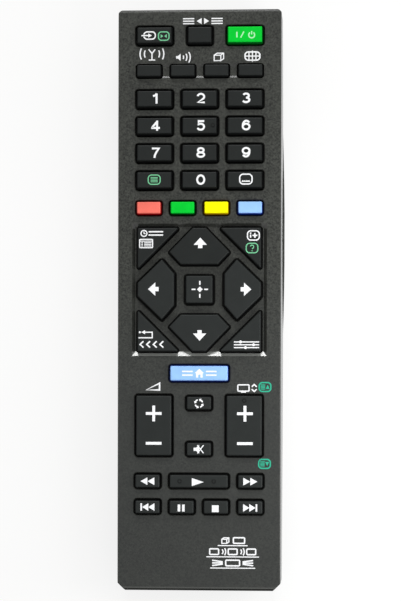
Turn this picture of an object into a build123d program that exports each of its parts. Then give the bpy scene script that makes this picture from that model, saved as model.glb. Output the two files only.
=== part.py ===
from build123d import *
from functools import cache
from math import radians, tan
import os

# A handheld television remote control, in millimetres. It lies on its back: X is across,
# +Y points to the head, where the infrared lamp looks out, and +Z stands out of the key face.
# The origin is on the surface that it lies on, under the middle of the casing.

# Casing
case_length = 176.8
side_margin = 5.95          # from the outer keys' holes to the casing's widest place, at the seam
side_bulge = 0.35           # each side's middle stands this far outside its ends
face_lean = 0.85            # each side leans in this far from the seam to the face
back_lean = 1.05            # and this far to the back
face_z = 19.0               # height of the face above the table
flank_round = 6.5
face_edge_round = 0.4
end_edge_round = 1.25
head_corner_round = 3.3
tail_corner_cut = 3.2       # the tail's corners are cut off at 45 degrees
tail_corner_round = 1.0     # and the cut's ends rounded
tail_lean = 1.6             # how far the tail's foot lies inside its parting line
head_lean = 1.0
end_draft = 0.4
tail_foot_round = 3.0
head_rise = 4.0             # the back climbs towards the head, from rise_start on
rise_drop = 66.4            # it starts this far below the head
rise_round = 220.0
swell_depth = 0.45          # the rear cover's right side swells past the front cover's by this much
swell_length = 84.0
swell_drop = 69.0           # the swelling's middle below the head
parting_z = 11.5
wall = 1.6
face_wall = 2.0

# Seam between the two covers
lip_height = 1.2
lip_gap = 0.1
catch_length = 6.0
catch_depth = 0.3
catch_height = 0.5
seam_groove = 0.25          # width and depth of the line that shows between the covers

# Key field, from the head down: a gap lies between a hole and the one above it
column_pitch = 13.65        # three wide columns
small_pitch = 10.2          # four narrow columns
transport_pitch = 10.35
top_row_drop = 8.5          # the first row's middle below the casing's head end
function_row_gap = 5.275
digit_row_gap = 3.075
row_gap = 1.93              # between the four digit rows
colour_row_gap = 2.86
pad_gap = 3.125
home_gap = 3.275
jump_gap = 3.675
rocker_gap = 3.375          # between the home key and the rockers
mute_gap = 8.9              # between the jump and the mute key
transport_gap = 4.7
last_row_gap = 2.8

digit_hole = (11.8, 6.25)
menu_hole = (8.5, 6.25)
function_hole = (8.35, 4.6)
colour_hole = (8.35, 4.75)
transport_hole = (8.5, 5.0)
home_hole = (18.6, 5.65)
play_hole = (18.75, 5.0)
rocker_hole = (11.8, 19.2)
select_hole = (9.3, 9.4)
hole_corner = 1.0
hole_chamfer = 0.2

# Rows of keys whose caps slope most
top_row = ["key_source", "key_menu", "key_power"]
number_rows = [["key_1", "key_2", "key_3"], ["key_4", "key_5", "key_6"],
               ["key_7", "key_8", "key_9"], ["key_text", "key_0", "key_subtitle"]]

# Direction pad: a sunk square with an X of ribs between its nine keys
sink_side_margin = 1.2      # beyond the pad's keys, left and right
sink_end_margin = 0.85      # and towards the head and the tail
sink_depth = 0.8
sink_slope = 0.9            # how far its sides run in on their way down
sink_tail_slope = 1.35      # the same at its side towards the tail
pad_reach = 19.2            # centre to the outer side of the pad's keys
arrow_tip_half = 2.25       # half an arrow key's outer side
arrow_slant = 0.2           # its outer slopes run this much off 45 degrees
arrow_parting = 1.35        # from its widest place to the pad's diagonal, along its width
corner_gap = 2.75           # from its outer slope to a corner key, along its width
arrow_gap = 2.3             # from its inner side to the select key
arrow_root_inset = 1.6      # half its inner side falls this short of the diagonal
arrow_skew = 0.45           # the upright pair's root is this much wider, the level pair's narrower
arrow_corner = 0.85

# Shallow groove that links the four function keys
groove_height = 4.0
groove_depth = 0.3
groove_slope = 0.6          # how far its long sides run in on their way down

# Keys
key_proud = 1.3             # top of a key above the face
key_gap = 0.35              # round a key in its hole
key_draft = 9.0             # degrees, on the part above the face
number_draft = 14.0         # degrees, on the number keys and the top row
key_edge_round = 0.4
key_travel = 0.8
flange_overlap = 0.35       # how far a key's foot reaches under the face
flange_height = 0.7
flange_gap = 0.1
pill_diameter = 3.2
pill_height = 0.4
rocker_angle = 3.0          # degrees each way
rocker_pill_y = 6.0
rocker_pill_height = 0.15
dot_diameter = 0.9          # raised dots to feel for
dot_height = 0.18
play_dots_x = (-5.8, 4.5)
five_dot_x = 4.0
channel_dot_rise = 7.6      # above the rocker's middle

# Circuit board and the silicone sheet on it
board_margin = 2.25         # from the outer keys' holes to the board's sides
board_drop = 4.0            # the board's head edge below the casing's
board_past_keys = 3.3       # its tail edge below the last row's holes
board_height = 1.2
board_gap = 0.15
press_gap = 0.05            # left under a fully pressed key
sheet_margin = 1.25         # from the outer keys' holes to the sheet's sides
sheet_height = 1.0
sheet_gap = 0.25
post_diameter = 3.2
post_inset = 2.8            # a post's middle inside the board's side
post_drops = (16.4, 56.4, 92.4)
rib_width = 0.9
rib_length = 18.0
rib_drops = (26.4, 74.4, 133.4)

# Batteries, their bay and the cover over them
cell_diameter = 10.5
cell_length = 44.5
nub_diameter = 3.8
nub_length = 1.0
cell_edge_round = 0.4
cell_gap = 0.6              # between the two cells
cell_clearance = 0.3
bay_wall = 1.0
bay_from_tail = 13.0
contact_thickness = 0.4
contact_width = 8.4
contact_height = 8.6
contact_touch = 0.05
spring_length = 4.0
spring_foot = 6.4
spring_tip = 4.0
tab_width = 2.4
door_width = 34.0
door_past_bay = 5.6         # the cover reaches this far past the bay's head wall
door_wall = 1.5
door_gap = 0.2
door_lip_z = 8.0            # top of the strip that closes the tail
rail_width = 1.2
rail_height = 1.0
rail_z = 1.75
latch_width = 4.0
latch_x = 14.5
latch_length = 2.6
shelf_height = 1.0
grip_width = 16.0
grip_length = 11.0
grip_depth = 0.6
grip_grooves = 6
grip_groove_width = 1.0
grip_from_head = 5.0

# Shallow seat for a label on the back
label_width = 30.0
label_height = 22.0
label_depth = 0.15

# Parts on the board
lamp_diameter = 5.0
lamp_length = 8.6
lamp_flange = 5.8
lamp_flange_height = 1.0
lamp_hole_gap = 0.15
lead_width = 0.5
lead_pitch = 2.54
chip_size = (12.8, 7.5, 2.3)
chip_pins = 14              # on each side
chip_pin_pitch = 0.85
chip_pin_width = 0.38
chip_pin_reach = 1.2
chip_drop = 76.4
can_diameter = 5.0
can_length = 7.5
can_x = 9.0
can_drop = 36.4
resonator_size = (7.4, 3.2, 5.4)
resonator_x = -9.0
resonator_drop = 58.4
transistor_size = (2.9, 1.3, 1.0)
transistor_x = 5.0
transistor_drop = 22.4
resistor_size = (1.6, 0.8, 0.5)
resistor_pitch = 1.5
resistor_count = 6
resistor_drop = 50.4           # the first of the row
resistor_x = 6.0
solder_gap = 0.2

# Places that follow from the sizes above
head_y = case_length / 2
tail_y = -case_length / 2
far = 2 * case_length       # longer than anything here, for blocks that only cut
rise_start = head_y - rise_drop
catch_rows = (-case_length / 3, 0.0, case_length / 3)
sink_width = 2 * (pad_reach + sink_side_margin)
sink_height = 2 * (pad_reach + sink_end_margin)
arrow_slope = pad_reach + arrow_tip_half - arrow_slant     # x and y of a place on the slope, added up
arrow_waist = (arrow_slope + arrow_parting) / 2            # centre to an arrow key's widest place
arrow_span = arrow_slope - arrow_waist                     # half its width there
arrow_root = select_hole[1] / 2 + arrow_gap
arrow_root_half = arrow_root - arrow_root_inset
corner_leg = 2 * pad_reach - arrow_slope - corner_gap      # short sides of the corner triangles
field_half = column_pitch + digit_hole[0] / 2
case_waist = 2 * (field_half + side_margin)
case_end_width = case_waist - 2 * side_bulge
face_width = case_waist - 2 * face_lean
back_width = case_waist - 2 * back_lean
row_pitch = digit_hole[1] + row_gap
board_head_y = head_y - board_drop
board_width = 2 * (field_half + board_margin)
sheet_width = 2 * (field_half + sheet_margin)
post_x = board_width / 2 - post_inset
face_underside = face_z - face_wall
sink_z = face_z - sink_depth
key_top = face_z + key_proud
foot_top = face_underside - flange_gap
foot_bottom = foot_top - flange_height
board_top = foot_bottom - pill_height - key_travel - press_gap
board_bottom = board_top - board_height
rocker_rise = (rocker_hole[1] / 2 + flange_overlap) * tan(radians(rocker_angle))
rocker_foot_top = foot_top - rocker_rise
rocker_pivot_z = rocker_foot_top - flange_height / 2
shelf_z = rail_z + rail_height + door_gap
cell_x = (cell_diameter + cell_gap) / 2
cell_z = door_wall + cell_clearance + cell_diameter / 2
bay_half = cell_x + cell_diameter / 2 + cell_clearance
bay_roof = cell_z + cell_diameter / 2 + cell_clearance
bay_tail_y = tail_y + bay_from_tail
bay_length = 2 * contact_thickness + spring_length + cell_length + 2 * contact_touch
bay_head_y = bay_tail_y + bay_length
door_head_y = bay_head_y + door_past_bay
lamp_z = board_bottom - solder_gap - lamp_flange / 2
label_y = (door_head_y + rise_start) / 2


def row_below(y, hole, gap, next_hole):
    """The middle of the row whose holes start a gap below another row's."""
    return y - hole[1] / 2 - gap - next_hole[1] / 2


# Rows of the key field
pad_span = (2 * pad_reach, 2 * pad_reach)
top_row_y = head_y - top_row_drop
function_row_y = row_below(top_row_y, digit_hole, function_row_gap, function_hole)
digit_row_y = row_below(function_row_y, function_hole, digit_row_gap, digit_hole)
last_digit_row_y = digit_row_y - 3 * row_pitch
colour_row_y = row_below(last_digit_row_y, digit_hole, colour_row_gap, colour_hole)
pad_y = row_below(colour_row_y, colour_hole, pad_gap, pad_span)
home_y = row_below(pad_y, pad_span, home_gap, home_hole)
jump_y = row_below(home_y, home_hole, jump_gap, transport_hole)
rocker_y = row_below(home_y, home_hole, rocker_gap, rocker_hole)
mute_y = row_below(jump_y, transport_hole, mute_gap, transport_hole)
transport_y = row_below(rocker_y, rocker_hole, transport_gap, transport_hole)
last_row_y = row_below(transport_y, transport_hole, last_row_gap, transport_hole)
board_tail_y = last_row_y - transport_hole[1] / 2 - board_past_keys


def block(x, y, z):
    """A box between two values on each axis."""
    size = (x[1] - x[0], y[1] - y[0], z[1] - z[0])
    middle = ((x[0] + x[1]) / 2, (y[0] + y[1]) / 2, (z[0] + z[1]) / 2)
    return Pos(*middle) * Box(*size)


def slab(low, high):
    """Everything between two heights."""
    return block((-far, far), (-far, far), (low, high))


def rod(diameter, low, high, x=0.0, y=0.0):
    """An upright cylinder between two heights."""
    return Pos(x, y, (low + high) / 2) * Cylinder(diameter / 2, high - low)


def rod_along_y(diameter, low, high, x=0.0, z=0.0):
    """A cylinder that lies along Y."""
    return Pos(x, (low + high) / 2, z) * Rot(90, 0, 0) * Cylinder(diameter / 2, high - low)


def prism(outline, low, high):
    """A flat outline raised between two heights."""
    return extrude(Pos(0, 0, low) * outline, high - low)


def corners_near(outline, places):
    """The outline's corners that lie nearest to the given places."""
    return [min(outline.vertices(), key=lambda v: (v.X - x) ** 2 + (v.Y - y) ** 2) for x, y in places]


# Casing outlines, each drawn in by inset on every side
def drawn_in(outline, inset):
    """An outline with every side moved in by inset."""
    return offset(outline, -inset, kind=Kind.INTERSECTION) if inset else outline


def softened(outline, places, radius, inset):
    """Rounds the corners near the given places as a rounding looks from inset further in."""
    inner = radius - inset
    return fillet(corners_near(outline, places), inner) if inner > 0 else outline


def section_outline(inset=0.0, swell=0.0):
    """Across the casing: flat back, round flanks, sides that widen to the seam, flat face."""
    back = back_width / 2
    waist = case_waist / 2 + swell
    face = face_width / 2
    outline = make_face(Polyline(
        (-back, 0), (back, 0), (waist, parting_z), (face, face_z), (-face, face_z), (-waist, parting_z),
        close=True))
    outline = drawn_in(outline, inset)
    outline = softened(outline, [(-back, 0), (back, 0)], flank_round, inset)
    return softened(outline, [(-face, face_z), (face, face_z)], face_edge_round, inset)


def plan_outline(inset=0.0):
    """From above: long sides that bulge a little, round corners at the head, cut ones at the tail."""
    end = case_end_width / 2
    waist = case_waist / 2
    outline = make_face(
        Line((-end, tail_y), (end, tail_y))
        + ThreePointArc((end, tail_y), (waist, 0), (end, head_y))
        + Line((end, head_y), (-end, head_y))
        + ThreePointArc((-end, head_y), (-waist, 0), (-end, tail_y)))
    outline = chamfer(corners_near(outline, [(-end, tail_y), (end, tail_y)]), tail_corner_cut)
    outline = drawn_in(outline, inset)
    outline = softened(outline, [(-end, head_y), (end, head_y)], head_corner_round, inset)
    cut = tail_corner_cut
    cut_ends = [(hand * (end - side), tail_y + cut - side) for hand in (-1, 1) for side in (0, cut)]
    return softened(outline, cut_ends, tail_corner_round, inset)


def profile_outline(inset=0.0):
    """From the side, Y along and Z up: flat under the batteries, climbing towards the head."""
    face_tail = tail_y + end_draft
    face_head = head_y - end_draft
    tail_foot = tail_y + tail_lean
    head_foot = head_y - head_lean
    outline = make_face(Polyline(
        (tail_foot, 0), (rise_start, 0), (head_foot, head_rise), (head_y, parting_z),
        (face_head, face_z), (face_tail, face_z), (tail_y, parting_z), close=True))
    outline = drawn_in(outline, inset)
    outline = softened(outline, [(rise_start, 0)], rise_round, inset)
    outline = softened(outline, [(tail_foot, 0), (head_foot, head_rise)], tail_foot_round, inset)
    return softened(outline, [(face_tail, face_z), (face_head, face_z)], end_edge_round, inset)


@cache
def case_body(inset=0.0):
    """The casing's outer form, or the same form drawn in by inset on every side."""
    section = extrude(Plane.XZ * section_outline(inset), case_length, both=True)
    plan = extrude(plan_outline(inset), face_z + wall, both=True)
    profile = extrude(Plane.YZ * profile_outline(inset), case_waist, both=True)
    return section & plan & profile


@cache
def case_hollow():
    """The space inside both covers."""
    return case_body(wall) & slab(-far, face_underside)


# Key outlines, each centred on the hole it is for
def rectangle_hole(size, corner=hole_corner):
    """A rectangular hole with rounded corners."""
    return RectangleRounded(size[0], size[1], corner)


def corner_hole(side_x, side_y):
    """A right triangle that fills one corner of the direction pad."""
    outer_x = side_x * pad_reach
    outer_y = side_y * pad_reach
    outline = make_face(Polyline(
        (outer_x, outer_y), (outer_x - side_x * corner_leg, outer_y),
        (outer_x, outer_y - side_y * corner_leg), close=True))
    return fillet(outline.vertices(), arrow_corner)


def arrow_hole(turn, skew):
    """A six-sided arrow key that points up, turned about the pad's centre."""
    root = arrow_root_half + skew
    outline = make_face(Polyline(
        (-root, arrow_root), (root, arrow_root), (arrow_span, arrow_waist), (arrow_tip_half, pad_reach),
        (-arrow_tip_half, pad_reach), (-arrow_span, arrow_waist), close=True))
    return Rot(0, 0, turn) * fillet(outline.vertices(), arrow_corner)


def pad_holes():
    """The direction pad's nine holes."""
    return {
        "key_guide": corner_hole(-1, 1), "key_info": corner_hole(1, 1),
        "key_return": corner_hole(-1, -1), "key_options": corner_hole(1, -1),
        "key_up": arrow_hole(0, arrow_skew), "key_left": arrow_hole(90, -arrow_skew),
        "key_down": arrow_hole(180, arrow_skew), "key_right": arrow_hole(270, -arrow_skew),
        "key_select": rectangle_hole(select_hole)}


def key_row(names, size, pitch, y):
    """A row of like holes, spread evenly about the middle."""
    middle = (len(names) - 1) / 2
    return {name: Pos((i - middle) * pitch, y) * rectangle_hole(size) for i, name in enumerate(names)}


@cache
def push_key_holes():
    """Every push key's hole outline, in its place on the face."""
    holes = key_row(top_row, digit_hole, column_pitch, top_row_y)
    holes["key_menu"] = Pos(0, top_row_y) * rectangle_hole(menu_hole)
    functions = ["key_tuner", "key_sound", "key_depth", "key_wide"]
    holes |= key_row(functions, function_hole, small_pitch, function_row_y)
    for i, names in enumerate(number_rows):
        holes |= key_row(names, digit_hole, column_pitch, digit_row_y - i * row_pitch)
    colours = ["key_red", "key_green", "key_yellow", "key_blue"]
    holes |= key_row(colours, colour_hole, small_pitch, colour_row_y)
    holes |= {name: Pos(0, pad_y) * outline for name, outline in pad_holes().items()}
    holes["key_home"] = Pos(0, home_y) * rectangle_hole(home_hole)
    holes["key_jump"] = Pos(0, jump_y) * rectangle_hole(transport_hole)
    holes["key_mute"] = Pos(0, mute_y) * rectangle_hole(transport_hole)
    outer_x = 1.5 * transport_pitch
    holes["key_rewind"] = Pos(-outer_x, transport_y) * rectangle_hole(transport_hole)
    holes["key_play"] = Pos(0, transport_y) * rectangle_hole(play_hole)
    holes["key_forward"] = Pos(outer_x, transport_y) * rectangle_hole(transport_hole)
    last_row = ["key_previous", "key_pause", "key_stop", "key_next"]
    return holes | key_row(last_row, transport_hole, transport_pitch, last_row_y)


@cache
def rocker_holes():
    """The two tall rockers' hole outlines."""
    return {
        "rocker_volume": Pos(-column_pitch, rocker_y) * rectangle_hole(rocker_hole),
        "rocker_channel": Pos(column_pitch, rocker_y) * rectangle_hole(rocker_hole)}


# Keys
def raised_dot(x, y):
    """A low dot to feel for on a key top."""
    return rod(dot_diameter, key_top - dot_height, key_top + dot_height, x, y)


def key_form(outline, top_of_foot, draft=key_draft):
    """A silicone key: a foot under the face, a straight stem and a drafted, rounded cap."""
    stem_outline = offset(outline, -key_gap)
    foot = prism(offset(outline, flange_overlap), top_of_foot - flange_height, top_of_foot)
    stem = prism(stem_outline, top_of_foot - flange_height / 2, sink_z)
    cap = extrude(Pos(0, 0, sink_z) * stem_outline, key_top - sink_z, taper=draft)
    cap = fillet(cap.edges().group_by(Axis.Z)[-1], key_edge_round)
    return foot + stem + cap


def push_key(name, outline, dots=()):
    """A push key with its carbon pill."""
    wide = name in sum(number_rows, top_row)
    key = key_form(outline, foot_top, number_draft if wide else key_draft)
    for x, y in dots:
        key += raised_dot(x, y)
    middle = outline.center(CenterOf.MASS)
    pill = rod(pill_diameter, foot_bottom - pill_height, foot_bottom, middle.X, middle.Y)
    return [key, pill]


def rocker_key(outline, dots=()):
    """A rocker that tips about its middle, with a carbon pill at each end."""
    key = key_form(outline, rocker_foot_top)
    for x, y in dots:
        key += raised_dot(x, y)
    middle = outline.center(CenterOf.MASS)
    foot = rocker_foot_top - flange_height
    pills = [rod(pill_diameter, foot - rocker_pill_height, foot, middle.X, middle.Y + end * rocker_pill_y)
             for end in (-1, 1)]
    return [key] + pills


def feel_dots():
    """Where the raised dots are: beside the 5, on play and above the channel rocker's plus."""
    return {
        "key_5": [(five_dot_x, digit_row_y - row_pitch)],
        "key_play": [(x, transport_y) for x in play_dots_x],
        "rocker_channel": [(column_pitch, rocker_y + channel_dot_rise)]}


# Covers
def sink():
    """The direction pad's sunk square, its sides sloping in, most gently at the tail."""
    top = Pos(0, pad_y, face_z) * Rectangle(sink_width, sink_height)
    floor_height = sink_height - sink_slope - sink_tail_slope
    floor_y = pad_y + (sink_tail_slope - sink_slope) / 2
    floor = Pos(0, floor_y, sink_z) * Rectangle(sink_width - 2 * sink_slope, floor_height)
    return loft([floor, top])


def groove():
    """The shallow groove between the first and the last function key, its long sides sloping in."""
    length = 3 * small_pitch
    top = Pos(0, function_row_y, face_z) * Rectangle(length, groove_height)
    floor = Pos(0, function_row_y, face_z - groove_depth) * Rectangle(length, groove_height - 2 * groove_slope)
    return loft([floor, top])


def seam_catches(gap):
    """Small ridges on the rear cover's lip that snap into the front cover's sides, grown by gap."""
    ridge = case_body(wall / 2 + lip_gap - catch_depth - gap) - case_body(wall)
    middle = parting_z + lip_height / 2
    half_length = catch_length / 2 + gap
    half_height = catch_height / 2 + gap
    rows = [block((-far, far), (y - half_length, y + half_length), (middle - half_height, middle + half_height))
            for y in catch_rows]
    return [ridge & row for row in rows]


def lamp_hole():
    """The hole in the head that the infrared lamp looks out of."""
    return rod_along_y(lamp_diameter + 2 * lamp_hole_gap, head_y - 2 * wall, head_y + wall, z=lamp_z)


def front_cover():
    """The face with its key holes and skirt, grooved inside for the rear cover's lip."""
    cover = (case_body() - case_hollow()) & slab(parting_z, far)
    cover -= case_body(wall / 2) & slab(-far, parting_z + lip_height + lip_gap)
    cover -= sink()
    cover -= groove()
    outlines = [*push_key_holes().values(), *rocker_holes().values()]
    cover -= [prism(outline, face_underside - wall, face_z + wall) for outline in outlines]
    cover = chamfer(hole_edges(cover), hole_chamfer)
    cover -= seam_catches(lip_gap)
    cover -= lamp_hole()
    return cover + board_ribs()


def hole_edges(cover):
    """The holes' upper edges on the face and on the sunk square's floor."""
    half = sink_width / 2 - sink_slope - hole_chamfer
    edges = []
    for face in cover.faces().filter_by(Axis.Z):
        height = face.center().Z
        if abs(height - face_z) < groove_depth + hole_chamfer or abs(height - sink_z) < hole_chamfer:
            for wire in face.inner_wires():
                box = wire.bounding_box()
                if box.size.X < 2 * half:
                    edges += wire.edges()
    return edges


def board_ribs():
    """Ribs inside the front cover that hold the circuit board down at its sides."""
    x_low = sheet_width / 2 + sheet_gap
    ribs = []
    for drop in rib_drops:
        y = head_y - drop
        for hand in (-1, 1):
            x = sorted((hand * x_low, hand * (x_low + rib_width)))
            length = (y - rib_length / 2, y + rib_length / 2)
            ribs.append(block(x, length, (board_top + board_gap, face_underside + face_wall / 2)))
    return ribs


def door_opening(gap):
    """The space that the battery cover fills, widened by gap."""
    half = door_width / 2 + gap
    opening = block((-half, half), (tail_y - far, door_head_y + gap), (-far, door_wall + wall))
    opening &= case_body()
    tail = block((-half, half), (tail_y - far, tail_y + tail_lean + wall), (-far, door_lip_z + gap))
    slot = half + rail_width
    rails = block((-slot, slot), (tail_y - far, door_head_y + gap),
                  (rail_z - gap, rail_z + rail_height + gap))
    return opening + tail + rails + latch_tongues(gap)


def latch_tongues(gap=0.0):
    """Two tongues at the battery cover's head that reach over the back panel, grown by gap."""
    half = latch_width / 2 + gap
    length = (door_head_y - rail_width - gap, door_head_y + latch_length + gap)
    height = (rail_z - gap, rail_z + rail_height + gap)
    return [block((hand * latch_x - half, hand * latch_x + half), length, height) for hand in (-1, 1)]


def rear_cover():
    """The back with its seam lip, board posts, battery bay and the opening for its cover."""
    cover = (case_body() - case_hollow()) & slab(-far, parting_z)
    lip = case_body(wall / 2 + lip_gap) - case_body(wall)
    cover += lip & slab(parting_z - lip_height, parting_z + lip_height)
    cover += seam_catches(0)
    cover -= seam_line()
    cover += side_swelling()
    posts = [rod(post_diameter, wall / 2, board_bottom - board_gap, hand * post_x, head_y - drop)
             for drop in post_drops for hand in (-1, 1)]
    cover += [post & case_body(wall / 2) for post in posts]
    cover += battery_tray()
    cover -= door_opening(door_gap)
    cover -= battery_space()
    cover -= lamp_hole()
    label = ((-label_width / 2, label_width / 2), (label_y - label_height / 2, label_y + label_height / 2))
    return cover - block(*label, (-wall, label_depth))


def seam_line():
    """What lies outside the covers' inset plan over the height of the line between them."""
    low, high = parting_z - seam_groove, parting_z
    return slab(low, high) - prism(plan_outline(seam_groove), low - wall, high + wall)


def side_swelling():
    """A shallow swelling on the rear cover's right side, widest under the seam."""
    root = case_waist / 2 - swell_depth
    tip = case_waist / 2 + swell_depth
    middle = head_y - swell_drop
    tail_end = middle - swell_length / 2
    head_end = middle + swell_length / 2
    arc = ThreePointArc((root, tail_end), (tip, middle), (root, head_end))
    lens = make_face(arc + Line((root, head_end), (root, tail_end)))
    section = extrude(Plane.XZ * section_outline(swell=swell_depth), case_length, both=True)
    return section & prism(lens, 0, parting_z - seam_groove)


def battery_tray():
    """The shelf over the battery cover, the box that holds the cells, and the wall at its head."""
    shelf_head = door_head_y + latch_length + door_gap + bay_wall
    shelf = block((-far, far), (tail_y, shelf_head), (shelf_z, shelf_z + shelf_height))
    bulkhead = block((-far, far), (shelf_head - bay_wall, shelf_head), (0, shelf_z + shelf_height))
    outer = bay_half + bay_wall
    box = block((-outer, outer), (bay_tail_y - bay_wall, bay_head_y + bay_wall),
                (shelf_z, bay_roof + bay_wall))
    return (shelf + bulkhead) & case_body(wall / 2), box


def battery_space():
    """The hollow that the two cells and their contacts fill, with slots for the contacts' tabs."""
    space = block((-bay_half, bay_half), (bay_tail_y, bay_head_y), (door_wall, bay_roof))
    depth = contact_thickness + cell_clearance
    half = tab_width / 2 + cell_clearance
    slots = [block((hand * cell_x - half, hand * cell_x + half), (bay_head_y - depth, bay_head_y),
                   (bay_roof - wall, board_bottom)) for hand in (-1, 1)]
    return [space] + slots


def battery_cover():
    """The sliding cover: back panel, tail strip, two rails, two latch tongues and a thumb grip."""
    half = door_width / 2
    skin = case_body() - case_body(door_wall)
    panel = skin & block((-half, half), (tail_y - far, door_head_y), (-far, door_lip_z))
    slot = half + rail_width
    length = (tail_y, door_head_y)
    rail_height_range = (rail_z, rail_z + rail_height)
    cover = panel
    for hand in (-1, 1):
        foot_x = sorted((hand * (half - rail_width), hand * half))
        rail_x = sorted((hand * (half - rail_width), hand * slot))
        cover += block(foot_x, length, (door_wall / 2, rail_z)) & case_body()
        cover += block(rail_x, length, rail_height_range) & case_body()
        latch_range = (hand * latch_x - latch_width / 2, hand * latch_x + latch_width / 2)
        cover += block(latch_range, (door_head_y - 2 * rail_width, door_head_y), (door_wall / 2, rail_z))
    cover += latch_tongues()
    return cover - thumb_grip()


def thumb_grip():
    """A ribbed dip in the battery cover for the thumb that slides it."""
    head = door_head_y - grip_from_head
    pitch = (grip_length - grip_groove_width) / (grip_grooves - 1)
    x = (-grip_width / 2, grip_width / 2)
    return [block(x, (head - i * pitch - grip_groove_width, head - i * pitch), (-wall, grip_depth))
            for i in range(grip_grooves)]


# Inside
def keypad_sheet():
    """The silicone sheet that lies on the board, open where each key's foot moves."""
    sheet = block((-sheet_width / 2, sheet_width / 2),
                  (board_tail_y + sheet_gap, board_head_y - sheet_gap), (board_top, board_top + sheet_height))
    outlines = [*push_key_holes().values(), *rocker_holes().values()]
    reach = flange_overlap + sheet_gap
    return sheet - [prism(offset(outline, reach), board_top - wall, foot_top) for outline in outlines]


def circuit_board():
    """The circuit board under the key field."""
    return block((-board_width / 2, board_width / 2), (board_tail_y, board_head_y), (board_bottom, board_top))


def infrared_lamp():
    """A round-nosed lamp in the head, its two leads bent up to the board."""
    radius = lamp_diameter / 2
    tip = head_y - end_draft
    back = tip - lamp_length
    lamp = rod_along_y(lamp_diameter, back, tip - radius, z=lamp_z)
    lamp += Pos(0, tip - radius, lamp_z) * Sphere(radius)
    lamp += rod_along_y(lamp_flange, back - lamp_flange_height, back, z=lamp_z)
    heel = back - 2 * lamp_flange_height
    half = lead_width / 2
    for hand in (-1, 1):
        x = hand * lead_pitch / 2
        lamp += block((x - half, x + half), (heel - half, back), (lamp_z - half, lamp_z + half))
        lamp += block((x - half, x + half), (heel - half, heel + half), (lamp_z - half, board_bottom))
    return lamp


def microcontroller():
    """A flat chip under the board with bent pins along both sides."""
    width, depth, height = chip_size
    top = board_bottom - solder_gap
    chip_y = head_y - chip_drop
    chip = block((-width / 2, width / 2), (chip_y - depth / 2, chip_y + depth / 2), (top - height, top))
    knee = top - height / 2
    half = chip_pin_width / 2
    for i in range(chip_pins):
        x = (i - (chip_pins - 1) / 2) * chip_pin_pitch
        for hand in (-1, 1):
            side = chip_y + hand * depth / 2
            arm = sorted((side - hand * half, side + hand * chip_pin_reach))
            foot = sorted((side + hand * (chip_pin_reach - chip_pin_width), side + hand * chip_pin_reach))
            chip += block((x - half, x + half), arm, (knee - half, knee + half))
            chip += block((x - half, x + half), foot, (knee, board_bottom))
    return chip


def capacitor():
    """A can that lies under the board, its two leads bent up at one end."""
    low = head_y - can_drop - can_length / 2
    z = board_bottom - solder_gap - can_diameter / 2
    can = rod_along_y(can_diameter, low, low + can_length, can_x, z)
    can = fillet(can.edges(), cell_edge_round)
    half = lead_width / 2
    for hand in (-1, 1):
        x = can_x + hand * lead_pitch / 2
        can += block((x - half, x + half), (low - 2 * lead_width, low + half), (z - half, z + half))
        can += block((x - half, x + half), (low - 2 * lead_width, low - lead_width), (z - half, board_bottom))
    return can


def hanging_part(size, x, y):
    """A boxed component under the board on three short legs."""
    width, depth, height = size
    top = board_bottom - solder_gap
    part = block((x - width / 2, x + width / 2), (y - depth / 2, y + depth / 2), (top - height, top))
    half = lead_width / 2
    for side in (-1, 0, 1):
        leg_x = x + side * width / 3
        part += block((leg_x - half, leg_x + half), (y - half, y + half), (top - half, board_bottom))
    return part


def chip_resistors():
    """A row of small chip resistors on the board's underside."""
    width, depth, height = resistor_size
    x = (resistor_x - width / 2, resistor_x + width / 2)
    rows = [head_y - resistor_drop + i * resistor_pitch for i in range(resistor_count)]
    return [block(x, (y - depth / 2, y + depth / 2), (board_bottom - height, board_bottom)) for y in rows]


def cell(hand, points):
    """One battery cell: points is 1 where its nub looks to the head, -1 to the tail."""
    low = bay_tail_y + contact_thickness + contact_touch
    high = bay_head_y - contact_thickness - contact_touch
    if points > 0:
        low += spring_length
        can = (low, high - nub_length)
        nub = (high - 2 * nub_length, high)
    else:
        high -= spring_length
        can = (low + nub_length, high)
        nub = (low, low + 2 * nub_length)
    body = rod_along_y(cell_diameter, *can, hand * cell_x, cell_z)
    body = fillet(body.edges().filter_by(GeomType.CIRCLE), cell_edge_round)
    return body + rod_along_y(nub_diameter, *nub, hand * cell_x, cell_z)


def contact_plate(hand, wall_y, inward):
    """A flat contact on one end wall of the bay."""
    x = hand * cell_x
    y = sorted((wall_y, wall_y + inward * contact_thickness))
    half = contact_height / 2
    return block((x - contact_width / 2, x + contact_width / 2), y, (cell_z - half, cell_z + half))


def contact_spring(hand, wall_y, inward):
    """The closed cone that a conical contact spring fills."""
    foot = wall_y + inward * contact_thickness / 2
    length = spring_length + contact_thickness / 2
    cone = Cone(spring_foot / 2, spring_tip / 2, length)
    return Pos(hand * cell_x, foot + inward * length / 2, cell_z) * Rot(-inward * 90, 0, 0) * cone


def contact_tab(hand):
    """A tab that carries a contact through the bay's roof to the board."""
    x = hand * cell_x
    return block((x - tab_width / 2, x + tab_width / 2), (bay_head_y - contact_thickness, bay_head_y),
                 (cell_z, board_bottom))


def contact_bridge():
    """The contact that joins both cells at the tail: a spring for one, a plate for the other."""
    link = block((-cell_x, cell_x), (bay_tail_y, bay_tail_y + contact_thickness),
                 (cell_z - tab_width / 2, cell_z + tab_width / 2))
    return (contact_plate(-1, bay_tail_y, 1) + contact_plate(1, bay_tail_y, 1) + link
            + contact_spring(-1, bay_tail_y, 1))


def contact_positive():
    """The head contact under the first cell's nub."""
    return contact_plate(-1, bay_head_y, -1) + contact_tab(-1)


def contact_negative():
    """The head contact with a spring for the second cell's flat end."""
    return contact_plate(1, bay_head_y, -1) + contact_tab(1) + contact_spring(1, bay_head_y, -1)


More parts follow.
